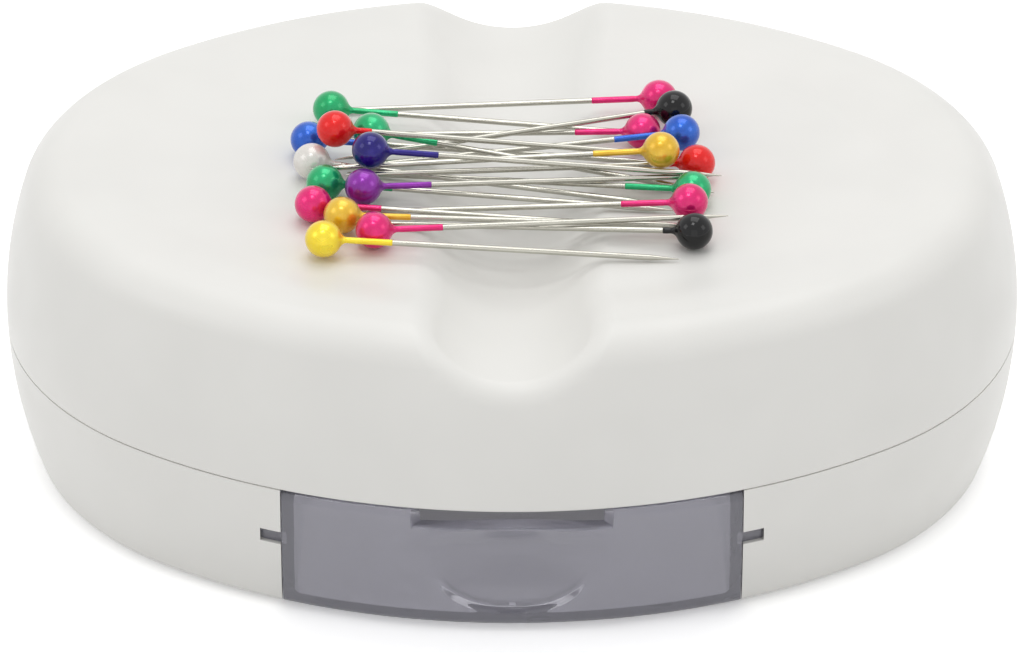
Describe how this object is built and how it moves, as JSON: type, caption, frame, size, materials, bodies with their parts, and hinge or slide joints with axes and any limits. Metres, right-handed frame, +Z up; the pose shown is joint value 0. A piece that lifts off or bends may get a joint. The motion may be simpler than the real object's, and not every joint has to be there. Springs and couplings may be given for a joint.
{
  "type": "magnetic pin bowl",
  "caption": "Oval magnetic pin bowl with a finger groove across the top, a small drawer underneath and ball-headed pins on the deck.",
  "frame": {"origin": "middle of the footprint, on the surface the rubber feet stand on", "axes": "+X to the right along the long axis of the oval, +Z up, and the drawer opens towards -Y"},
  "size_m": [0.105, 0.082, 0.0403],
  "materials": {
    "case_plastic": "satin moulded, warm white",
    "drawer_plastic": "smoky translucent",
    "ferrite": "dull dark grey ceramic magnet",
    "tray_plastic": "moulded, off-white",
    "screw_steel": "zinc plated",
    "foot_rubber": "grey rubber",
    "pin_steel": "polished nickel-plated steel",
    "head_pink": "pearlescent pink",
    "head_green": "pearlescent green",
    "head_red": "pearlescent red",
    "head_blue": "pearlescent blue",
    "head_gold": "pearlescent gold",
    "head_black": "pearlescent black",
    "head_yellow": "pearlescent yellow",
    "head_navy": "pearlescent navy",
    "head_purple": "pearlescent purple",
    "head_white": "pearl white"
  },
  "bodies": {
    "root": {"base_shell": "case_plastic", "top_shell": "case_plastic", "magnet_left": "ferrite", "magnet_right": "ferrite", "magnet_tray": "tray_plastic", "tray_screws": "screw_steel", "case_screws": "screw_steel", "rubber_feet": "foot_rubber"},
    "drawer": {"drawer": "drawer_plastic"},
    "pins": {"pin_shafts": "pin_steel", "pin_heads_pink": "head_pink", "pin_heads_green": "head_green", "pin_heads_red": "head_red", "pin_heads_blue": "head_blue", "pin_heads_gold": "head_gold", "pin_heads_black": "head_black", "pin_head_yellow": "head_yellow", "pin_head_navy": "head_navy", "pin_head_purple": "head_purple", "pin_head_white": "head_white"}
  },
  "joints": [
    {"name": "drawer_slide", "type": "slide", "parent": "root", "child": "drawer", "axis": [0, -1, 0], "range_m": [0, 0.038]},
    {"name": "pins_lift", "type": "slide", "parent": "root", "child": "pins", "axis": [0, 0, 1], "range_m": [0, 0.03]}
  ]
}
